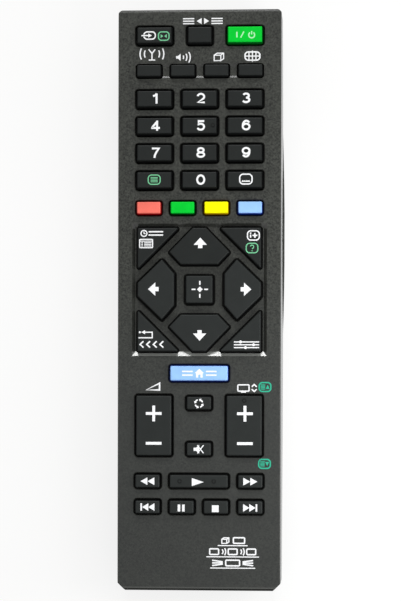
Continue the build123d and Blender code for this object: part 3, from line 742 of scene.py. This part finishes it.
def draw_home(mark):
    """A small house with an open door, between two pairs of dashes."""
    eaves_y, floor_y, wall_x, door_x = 0.05, -1.3, 1.0, 0.32
    left = [(-1.4, eaves_y), (-wall_x, eaves_y), (-wall_x, floor_y), (-door_x, floor_y), (-door_x, -0.4)]
    right = [(-x, y) for x, y in left[::-1]]
    mark.fill((left + right + [(0, 1.35)])[::-1])
    for side in (-1, 1):
        for y in (-0.55, 0.55):
            mark.bar(side * 3.6, y, 3.2, 0.45)


def draw_jump(mark):
    """Arcs that chase each other in a ring, each with an arrow head."""
    radius, reach, length = 1.15, 0.5, 0.62
    for turn in (0, 90, 180, 270):
        mark.line(arc(0, 0, radius, turn + 18, turn + 68, 8))
        lean = radians(turn + 62)
        out_x, out_y = cos(lean), sin(lean)
        x, y = radius * out_x, radius * out_y
        mark.fill([(x + reach * out_x, y + reach * out_y), (x - length * out_y, y + length * out_x),
                   (x - reach * out_x, y - reach * out_y)])


def draw_speaker(mark, x=0.0, y=0.0, size=1.0):
    """A loudspeaker from the side, about a place."""
    points = [(-1.5, 0.45), (-0.8, 0.45), (0.1, 1.25), (0.1, -1.25), (-0.8, -0.45), (-1.5, -0.45)]
    mark.fill([(x + size * px, y + size * py) for px, py in points][::-1])


def draw_mute(mark):
    """A loudspeaker that is crossed out."""
    draw_speaker(mark, 0.1, 0.0, 1.05)
    mark.line([(-0.35, 1.25), (1.5, -1.2)], width=0.3)
    mark.line([(-0.35, -1.25), (1.5, 1.2)], width=0.3)


def draw_sound(mark):
    """A loudspeaker with three waves."""
    middle_x = -1.6
    draw_speaker(mark, middle_x, 0.0, 0.85)
    for radius in (1.0, 2.0, 3.0):
        mark.line(arc(middle_x, 0, radius, -32, 32, 8), width=0.36)


def draw_aerial(mark):
    """An aerial between waves."""
    fork_y, foot_y, stroke = 0.3, -1.65, 0.38
    mark.line([(-1.0, 1.6), (0, fork_y), (1.0, 1.6)], stroke)
    mark.line([(0, fork_y), (0, foot_y)], stroke)
    mark.bar(0, foot_y, 2.0, 0.36)
    for side in (-1, 1):
        for radius in (2.3, 3.6):
            mark.line(arc(0, 0.2, radius, 90 - side * 62, 90 - side * 118, 10), stroke)


def draw_cube(mark, x=0.0, y=0.0, size=1.0):
    """A see-through cube's outline."""
    front = [(-1.45, -1.1), (0.55, -1.1), (0.55, 0.55), (-1.45, 0.55)]
    behind = [(-1.45, 0.55), (-0.6, 1.15), (1.4, 1.15), (1.4, -0.5), (0.55, -1.1)]
    edge = [(0.55, 0.55), (1.4, 1.15)]
    for points, closed in ((front, True), (behind, False), (edge, False)):
        mark.line([(x + size * px, y + size * py) for px, py in points], 0.32, closed)


def draw_menu(mark):
    """Two opposed arrows between short level lines."""
    for x in (-4.3, 4.3):
        for y in (-0.75, 0.0, 0.75):
            mark.bar(x, y, 3.4, 0.36)
    for side in (-1, 1):
        draw_triangle(mark, side * 1.1, 0, 1.5, 1.9, side)


def draw_wedge(mark):
    """A rising volume wedge in outline."""
    mark.ring([(-2.0, -1.05), (2.1, -1.05), (2.1, 1.0)], 0.5)


def draw_channels(mark):
    """A screen on its stand beside two chevrons, one up and one down."""
    stroke = 0.38
    mark.ring(rounded(3.4, 1.9, 0.3), stroke)
    mark.bar(0, -1.25, 1.6, 0.34)
    for way in (1, -1):
        mark.line([(2.5, way * 0.35), (3.25, way * 1.05), (4.0, way * 0.35)], stroke)


def draw_badge_panel(mark, x, width):
    """A flat screen in one of the block's lines."""
    mark.ring(shifted(rounded(width, 1.7, 0.3), x, 0.3))


def draw_badge_rule(mark, width):
    """The rule under one of the block's lines."""
    mark.bar(0, -1.25, width, 0.3)


def draw_badge_cube(mark, width):
    """Cube and screen over a rule."""
    draw_cube(mark, -2.2, 0.25, 0.75)
    draw_badge_panel(mark, 1.9, 3.4)
    draw_badge_rule(mark, width)


def draw_badge_link(mark, width):
    """Three screens with waves between them over a rule."""
    for x in (-5.6, 0.0, 5.6):
        draw_badge_panel(mark, x, 2.7)
    for x in (-2.8, 2.8):
        for radius, spread in ((0.9, 50), (1.7, 38)):
            mark.line(arc(x - 1.0, 0.3, radius, -spread, spread, 8), width=0.38)
    draw_badge_rule(mark, width)


def draw_badge_rays(mark, width):
    """A panel with rays on both sides over a rule."""
    draw_badge_panel(mark, 0, 4.2)
    for side in (-1, 1):
        for lean in (-1, 0, 1):
            mark.line([(side * 3.0, 0.3 + 0.35 * lean), (side * 6.2, 0.3 + 0.8 * lean)], width=0.4)
    draw_badge_rule(mark, width)


def draw_page_step(mark, way):
    """A screen with lines and an arrow head; way is 1 up and -1 down."""
    mark.ring(screen(3.3, 2.5))
    for y in (-0.62, -0.2, 0.22, 0.64):
        mark.bar(-0.62, y, 1.35, 0.28)
    mark.fill([(0.2, -way * 0.6), (1.4, -way * 0.6), (0.8, way * 0.7)][::way])


def draw_play(mark):
    """One arrow head."""
    draw_triangle(mark, 0, 0, 3.6, 2.4)


def draw_wind(mark, way):
    """Two arrow heads; way is 1 forward and -1 back."""
    for x in (-1.05, 1.05):
        draw_triangle(mark, way * x, 0, 2.1, 2.3, way)


def draw_skip(mark, way):
    """Two arrow heads against a bar."""
    for x in (-1.2, 0.65):
        draw_triangle(mark, way * x, 0, 1.9, 2.3, way)
    mark.bar(way * 1.85, 0, 0.5, 2.25)


def draw_pause(mark):
    """Two upright bars."""
    for x in (-0.66, 0.66):
        mark.bar(x, 0, 0.78, 2.1)


def draw_stop(mark):
    """A square."""
    mark.bar(0, 0, 2.05, 2.05)


def stamp(name, body, material, x, y, draw, *details, z=KEY_TOP, under=False):
    """Draws one symbol at its place and lets it ride on a body."""
    mark = Mark()
    draw(mark, *details)
    mark.piece(name, material, body, x, y, z, under)


# Looks of the CAD nodes
def dress(material, *nodes):
    """Gives CAD nodes a material in every slot."""
    for node in nodes:
        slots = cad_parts[node].data.materials
        if not slots:
            slots.append(material)
        for i in range(len(slots)):
            slots[i] = material


def dress_black_keys():
    """Black rubber, with the keys near the head painted darker as shade and painted shade round the raised
    dots.
    """
    # Each set is top, side, rim and gloss; the side is the top's colour painted darker as shade.
    black = (srgb(33, 36, 35), srgb(15, 16, 16), srgb(56, 60, 58), 0.18)
    # Painted shade: a darker copy of the black rubber for the keys near the head.
    upper = (srgb(25, 28, 27), srgb(15, 16, 16), srgb(50, 54, 52), 0.18)
    # The raised dots below are each ringed with painted shade.
    five_dot = (4.0, DIGIT_Y - DIGIT_PITCH)
    play_dots = [(-5.8, TRANSPORT_Y[0]), (4.5, TRANSPORT_Y[0])]
    channel_dot = (COLUMN, ROCKER_Y + 7.6)
    keys = [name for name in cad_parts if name.startswith(("key_", "rocker_"))]
    shaded_upper_keys = [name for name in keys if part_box(name)[0].y > SHADED_KEYS_ABOVE * MM]
    dress(rubber_material("key_rubber", *black), *keys)
    dress(rubber_material("upper_rubber_shaded", *upper), *shaded_upper_keys)
    dress(rubber_material("five_rubber", *upper, dots=[five_dot]), "key_5")
    dress(rubber_material("play_rubber", *black, dots=play_dots), "key_play")
    dress(rubber_material("channel_rubber", *black, dots=[channel_dot]), "rocker_channel")


def dress_coloured_keys():
    """The green, red, yellow and blue keys: a pale top, a side painted in deep shade, and a rim that is
    partly wear and partly painted highlight.
    """
    # The second colour of each key is its side, painted deep as shade.
    green = rubber_material("key_green", srgb(2, 203, 52), srgb(0, 84, 22), srgb(50, 216, 90), 0.08)
    red = rubber_material("key_red", srgb(243, 117, 102), srgb(168, 8, 16), srgb(250, 150, 138), 0.12)
    yellow = rubber_material("key_yellow", srgb(255, 254, 0), srgb(186, 138, 0), srgb(255, 252, 60), 0.08)
    blue = rubber_material("key_blue", srgb(152, 196, 250), srgb(10, 46, 150), srgb(182, 212, 252))
    dress(green, "key_power", "key_green")
    dress(red, "key_red")
    dress(yellow, "key_yellow")
    dress(blue, "key_blue", "key_home")


def dress_inside():
    """The keypad sheet, the board with its parts, and the contacts."""
    chip = moulded_material("chip", srgb(22, 22, 24), srgb(34, 34, 36), size=0.3, rough=0.45)
    can = moulded_material("can", srgb(22, 34, 84), srgb(32, 48, 110), size=0.8, rough=0.28)
    ceramic = moulded_material("ceramic", srgb(186, 110, 34), srgb(212, 138, 58), size=0.6, rough=0.25)
    dress(sheet_material(), "keypad_sheet")
    dress(board_material(), "circuit_board")
    dress(lamp_material(), "ir_led")
    dress(chip, "microcontroller", "driver_transistor", "chip_resistors")
    dress(can, "capacitor")
    dress(ceramic, "resonator")
    dress(contact_metal, "contact_bridge", "contact_positive", "contact_negative")


def dress_cells():
    """Both cells: the pale band lies near the end that bears the nub."""
    nub, band_start, band_end = 1.0, 3.0, 9.0
    for node, to_head in (("battery_1", True), ("battery_2", False)):
        low, high = (corner.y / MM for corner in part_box(node))
        if to_head:
            can = (low, high - nub)
            band = (can[1] - band_end, can[1] - band_start)
        else:
            can = (low + nub, high)
            band = (can[0] + band_start, can[0] + band_end)
        dress(cell_material(node + "_sleeve", band, can), node)


casing = casing_material("casing")
white_ink = ink_material("ink_white", srgb(250, 251, 252))
green_ink = ink_material("ink_green", srgb(118, 200, 150))
teal_ink = ink_material("ink_teal", srgb(45, 176, 142))
mint_ink = ink_material("ink_mint", srgb(182, 246, 190))
dark_ink = ink_material("ink_dark", srgb(52, 54, 58))
contact_metal = metal_material("contact", srgb(168, 168, 164), srgb(214, 214, 210), rough=0.22)

dress_black_keys()
dress_coloured_keys()
dress(casing, "front_cover", "rear_cover")
dress(casing_material("door_casing", arrow=True), "battery_cover")
dress_inside()
dress_cells()


# Symbols in their places
def figures():
    """The figures on the number keys, a little right of the middle as in the photograph."""
    for number in range(10):
        row, column = divmod(number - 1, 3) if number else (3, 1)
        x = (column - 1) * COLUMN + FIGURE_SHIFT
        y = DIGIT_Y - row * DIGIT_PITCH
        stamp(f"print_{number}", f"key_{number}", white_ink, x, y, draw_figure, number)


def key_symbols():
    """Everything printed on the keys apart from the figures."""
    page_y = DIGIT_Y - 3 * DIGIT_PITCH
    upper, lower = TRANSPORT_Y
    # mark, key, ink, x, y, how it is drawn
    symbols = (
        ("source", "source", white_ink, -15.45, 79.7, draw_source),
        ("hold", "source", green_ink, -10.85, 79.5, draw_hold),
        ("power", "power", mint_ink, 13.8, 79.65, draw_power),
        ("page", "text", green_ink, -COLUMN, page_y + 0.05, draw_page),
        ("subtitle", "subtitle", white_ink, 14.0, page_y + 0.1, draw_subtitle),
        ("list", "guide", white_ink, -16.05, 16.95, draw_list),
        ("guide", "guide", white_ink, -14.3, 20.0, draw_guide),
        ("info", "info", white_ink, 16.3, 19.3, draw_info),
        ("query", "info", green_ink, 15.9, 15.5, draw_query),
        ("return", "return", white_ink, -16.15, -10.45, draw_return),
        ("back", "return", white_ink, -14.4, -13.5, draw_chevrons),
        ("options", "options", white_ink, 14.3, -13.6, draw_options),
        ("up", "up", white_ink, 0.3, 17.1, draw_arrow, 0),
        ("left", "left", white_ink, -13.85, 3.2, draw_arrow, 1),
        ("down", "down", white_ink, 0.15, -10.8, draw_arrow, 2),
        ("right", "right", white_ink, 14.1, 3.1, draw_arrow, 3),
        ("select", "select", white_ink, 0.2, PAD_Y, draw_select),
        ("home", "home", white_ink, 0.1, HOME_Y, draw_home),
        ("jump", "jump", white_ink, 0.0, JUMP_Y - 0.1, draw_jump),
        ("mute", "mute", white_ink, -0.1, MUTE_Y, draw_mute),
        ("rewind", "rewind", white_ink, -TRANSPORT_X, upper, draw_wind, -1),
        ("play", "play", white_ink, -0.3, upper - 0.2, draw_play),
        ("forward", "forward", white_ink, TRANSPORT_X, upper, draw_wind, 1),
        ("previous", "previous", white_ink, -TRANSPORT_X, lower, draw_skip, -1),
        ("pause", "pause", white_ink, -5.3, lower - 0.25, draw_pause),
        ("stop", "stop", white_ink, 5.0, lower - 0.4, draw_stop),
        ("next", "next", white_ink, TRANSPORT_X, lower - 0.1, draw_skip, 1),
    )
    for name, key, ink, x, y, draw, *details in symbols:
        stamp("print_" + name, "key_" + key, ink, x, y, draw, *details)
    for x, body in ((-COLUMN, "rocker_volume"), (13.87, "rocker_channel")):
        stamp(f"print_{body}_more", body, white_ink, x, ROCKER_Y + 3.65, draw_plus)
        stamp(f"print_{body}_less", body, white_ink, x, ROCKER_Y - 5.35, draw_minus)


def face_symbols():
    """Everything printed on the front cover."""
    row_y, badge_x, badge_y = 73.4, 10.25, -73.0
    # mark, ink, x, y, how it is drawn
    symbols = (
        ("menu", white_ink, 0.9, 84.3, draw_menu),
        ("tuner", white_ink, -14.5, 74.3, draw_aerial),
        ("sound", white_ink, -4.3, row_y, draw_sound),
        ("depth", white_ink, 5.8, row_y, draw_cube),
        ("wide", white_ink, 15.9, row_y + 0.2, draw_grid),
        ("volume", white_ink, -14.1, -26.2, draw_wedge),
        ("channel", white_ink, 13.4, -26.6, draw_channels),
        ("page_up", teal_ink, 19.9, -26.3, draw_page_step, 1),
        ("page_down", teal_ink, 19.8, -49.5, draw_page_step, -1),
        ("badge_1", white_ink, badge_x, badge_y, draw_badge_cube, 9.0),
        ("badge_2", white_ink, badge_x, badge_y - BADGE_PITCH, draw_badge_link, 15.9),
        ("badge_3", white_ink, badge_x, badge_y - 2 * BADGE_PITCH, draw_badge_rays, 13.6),
    )
    for name, ink, x, y, draw, *details in symbols:
        stamp("print_" + name, "housing", ink, x, y, draw, *details, z=FACE)


figures()
key_symbols()
face_symbols()


# Sheet metal and wire of the battery contacts
def soft_polygon(corners, radius, steps=4):
    """A closed outline whose corners are rounded."""
    points = []
    for i, (x, y) in enumerate(corners):
        ends = []
        for px, py in (corners[i - 1], corners[(i + 1) % len(corners)]):
            reach = radius / hypot(px - x, py - y)
            ends.append((x + reach * (px - x), y + reach * (py - y)))
        for k in range(steps + 1):
            t = k / steps
            points.append(tuple((1 - t) ** 2 * a + 2 * t * (1 - t) * b + t * t * c
                                for a, b, c in zip(ends[0], (x, y), ends[1])))
    return points


def sheet_metal(name, outline, low_y, high_y):
    """A flat stamping that stands across the remote: its outline holds x and z in millimetres."""
    mesh = bmesh.new()
    sides = [[mesh.verts.new((x * MM, y * MM, z * MM)) for x, z in outline] for y in (low_y, high_y)]
    mesh.faces.new(sides[0])
    mesh.faces.new(sides[1][::-1])
    for i in range(len(outline)):
        j = (i + 1) % len(outline)
        mesh.faces.new((sides[0][i], sides[1][i], sides[1][j], sides[0][j]))
    return add_piece(name, mesh, contact_metal, "housing")


def spring_path(x, z, foot_y, way):
    """The middle of a conical spring's wire, with a flat turn at each end."""
    points = []
    for i in range(SPRING_STEPS * (SPRING_TURNS + 2) + 1):
        turn = i / SPRING_STEPS
        share = min(max((turn - 1) / SPRING_TURNS, 0), 1)
        radius = SPRING_FOOT + share * (SPRING_TIP - SPRING_FOOT)
        y = foot_y + way * (WIRE / 2 + share * (SPRING_LENGTH - WIRE))
        points.append(Vector((x + radius * cos(2 * pi * turn), y, z + radius * sin(2 * pi * turn))) * MM)
    return points


def wound_spring(name, x, z, foot_y, way):
    """A conical spring of round wire that stands on a wall; way is 1 towards the head."""
    points = spring_path(x, z, foot_y, way)
    mesh = bmesh.new()
    rings = []
    for i, point in enumerate(points):
        along = points[min(i + 1, len(points) - 1)] - points[max(i - 1, 0)]
        side = along.cross(Vector((0, 1, 0))).normalized()
        up = side.cross(along).normalized()
        turns = [2 * pi * k / WIRE_SIDES for k in range(WIRE_SIDES)]
        rings.append([mesh.verts.new(point + WIRE / 2 * MM * (cos(t) * side + sin(t) * up)) for t in turns])
    for low, high in zip(rings, rings[1:]):
        for k in range(WIRE_SIDES):
            j = (k + 1) % WIRE_SIDES
            mesh.faces.new((low[k], low[j], high[j], high[k])).smooth = True
    mesh.faces.new(rings[0])
    mesh.faces.new(rings[-1])
    add_piece(name, mesh, contact_metal, "housing")


def bridge_outline(low, high):
    """Two plates side by side that a narrow strip joins, from one height to another."""
    outer, inner = CELL_X + PLATE_WIDTH / 2, CELL_X - PLATE_WIDTH / 2
    strip_low, strip_high = CELL_Z - TAB_WIDTH / 2, CELL_Z + TAB_WIDTH / 2
    return [(-outer, low), (-inner, low), (-inner, strip_low), (inner, strip_low), (inner, low), (outer, low),
            (outer, high), (inner, high), (inner, strip_high), (-inner, strip_high), (-inner, high),
            (-outer, high)]


def battery_contacts():
    """Stampings and springs in place of the plain contact solids."""
    tab_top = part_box("contact_positive")[1].z / MM
    low, high = CELL_Z - PLATE_HEIGHT / 2, CELL_Z + PLATE_HEIGHT / 2
    tab = TAB_WIDTH / 2
    bridge = soft_polygon(bridge_outline(low, high), 0.6)
    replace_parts(sheet_metal("bridge_plate", bridge, BAY_TAIL, BAY_TAIL + PLATE), "contact_bridge")
    wound_spring("bridge_spring", -CELL_X, CELL_Z, BAY_TAIL + PLATE, 1)
    for name, x in (("positive", -CELL_X), ("negative", CELL_X)):
        left, right = x - PLATE_WIDTH / 2, x + PLATE_WIDTH / 2
        plate = [(left, low), (right, low), (right, high), (x + tab, high), (x + tab, tab_top),
                 (x - tab, tab_top), (x - tab, high), (left, high)]
        metal = sheet_metal(name + "_plate", soft_polygon(plate, 0.5), BAY_HEAD - PLATE, BAY_HEAD)
        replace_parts(metal, "contact_" + name)
    wound_spring("negative_spring", CELL_X, CELL_Z, BAY_HEAD - PLATE, -1)


battery_contacts()


# The back's label
def draw_cell(mark, way):
    """A cell's outline with its nub and both signs; way is 1 where the nub looks to the head."""
    side, end = 2.6, 8.0
    mark.ring([(-side, -end), (side, -end), (side, end), (-side, end)], 0.3)
    mark.bar(0, way * 8.45, 2.0, 0.6)
    draw_plus(mark, 0, way * 5.6, 1.1, 0.4)
    mark.bar(0, -way * 5.8, 2.2, 0.4)


def back_label():
    """A label film with a ruled frame and two cells, without words."""
    margin = 2.4
    film = Mark()
    film.top = LABEL_THICKNESS - INK_ROOT
    film.fill(rounded(LABEL_WIDTH, LABEL_HEIGHT, 1.2))
    film_z = LABEL_SEAT - INK_ROOT + LABEL_SINK
    film.piece("back_label", label_material(), "housing", 0, LABEL_Y, film_z, True)
    face = LABEL_SEAT + LABEL_SINK - LABEL_THICKNESS
    rule = Mark()
    rule.ring(rounded(LABEL_WIDTH - margin, LABEL_HEIGHT - margin, 0.8), 0.22)
    rule.piece("label_frame", dark_ink, "housing", 0, LABEL_Y, face, True)
    for i, (x, way) in enumerate(((-3.6, 1), (3.6, -1))):
        stamp(f"label_cell_{i + 1}", "housing", dark_ink, x, LABEL_Y, draw_cell, way, z=face, under=True)


back_label()


# Floor, light and camera
def seen_directly(shader):
    """1 for rays that show a thing itself: to the camera, in gloss and through clear plastic."""
    seen = shader.add("ShaderNodeLightPath")
    direct = seen.outputs["Is Camera Ray"]
    for other in ("Is Glossy Ray", "Is Transmission Ray"):
        direct = shader.math("MAXIMUM", direct, seen.outputs[other])
    return direct


def floor_material():
    """Paper that lights the object as white paper does, and shows near white but keeps shadows."""
    s = Shader("floor")
    paper = s.noise(40)
    lighting = s.mix(paper, (0.78, 0.78, 0.78), (0.82, 0.82, 0.82))
    shown = s.mix(paper, (0.215, 0.215, 0.21), (0.225, 0.225, 0.22))
    shown_glow = 0.77
    direct = seen_directly(s)
    diffuse = s.add("ShaderNodeBsdfDiffuse", [("Color", s.mix(direct, lighting, shown))])
    glow = s.add("ShaderNodeEmission", [("Strength", s.product(direct, shown_glow))])
    both = s.add("ShaderNodeAddShader", [(0, diffuse.outputs[0]), (1, glow.outputs[0])])
    s.put(s.output.inputs["Surface"], both.outputs[0])
    return s.material


def studio_floor():
    """A pale square floor under the remote."""
    half = 3000 * MM
    corners = [(-half, -half, 0), (half, -half, 0), (half, half, 0), (-half, half, 0)]
    data = bpy.data.meshes.new("floor")
    data.from_pydata(corners, [], [(0, 1, 2, 3)])
    data.materials.append(floor_material())
    floor = add_object("floor", data)


def studio_world():
    """Even soft light, weaker from straight above than from the sides; white where it is seen."""
    world = bpy.data.worlds.new("studio")
    bpy.context.scene.world = world
    w = NodeTree(world, "ShaderNodeOutputWorld", "Generated")
    from_side, from_above = 0.8, 0.4
    strength = w.span(w.axis(w.coords, Z), 0.3, 1.0, from_side, from_above)
    light = w.add("ShaderNodeBackground", [("Color", (0.985, 0.99, 1.0, 1.0)), ("Strength", strength)])
    white = w.add("ShaderNodeBackground", [("Color", (1, 1, 1, 1))])
    both = w.add("ShaderNodeMixShader", [(0, seen_directly(w)), (1, light.outputs[0]), (2, white.outputs[0])])
    w.put(w.output.inputs["Surface"], both.outputs[0])


def soft_lamp(name, place, width, height, watts):
    """A rectangular lamp at a place in millimetres that looks at the middle of the remote."""
    data = bpy.data.lights.new(name, "AREA")
    data.shape = "RECTANGLE"
    data.size = width * MM
    data.size_y = height * MM
    data.energy = watts
    lamp = add_object(name, data)
    lamp.location = Vector(place) * MM
    lamp.rotation_euler = (-lamp.location).to_track_quat("-Z", "Y").to_euler()


def photo_camera():
    """The photograph's view: from above, a little to the right of the middle, 38 cm over the face."""
    distance, right, tailward = 380.0, 15.02, 28.7
    pitch, lean, turn = -0.078, 2.2, 0.119      # degrees
    long_side_px = 601
    focal_px = 1257.3
    data = bpy.data.cameras.new("camera")
    data.sensor_width = 36.0
    data.lens = focal_px * data.sensor_width / long_side_px
    data.shift_y = 0.16
    data.clip_start = 10 * MM
    data.clip_end = 20000 * MM
    camera = add_object("camera", data)
    camera.location = Vector((right, -tailward, FACE + distance)) * MM
    camera.rotation_euler = (radians(pitch), radians(lean), radians(turn))
    bpy.context.scene.camera = camera


studio_floor()
studio_world()
soft_lamp("head_lamp", place=(60, 1300, 750), width=700, height=260, watts=11.0)
soft_lamp("right_lamp", place=(135, -45, 120), width=100, height=150, watts=0.2)
photo_camera()
bpy.context.scene.view_settings.view_transform = "Standard"
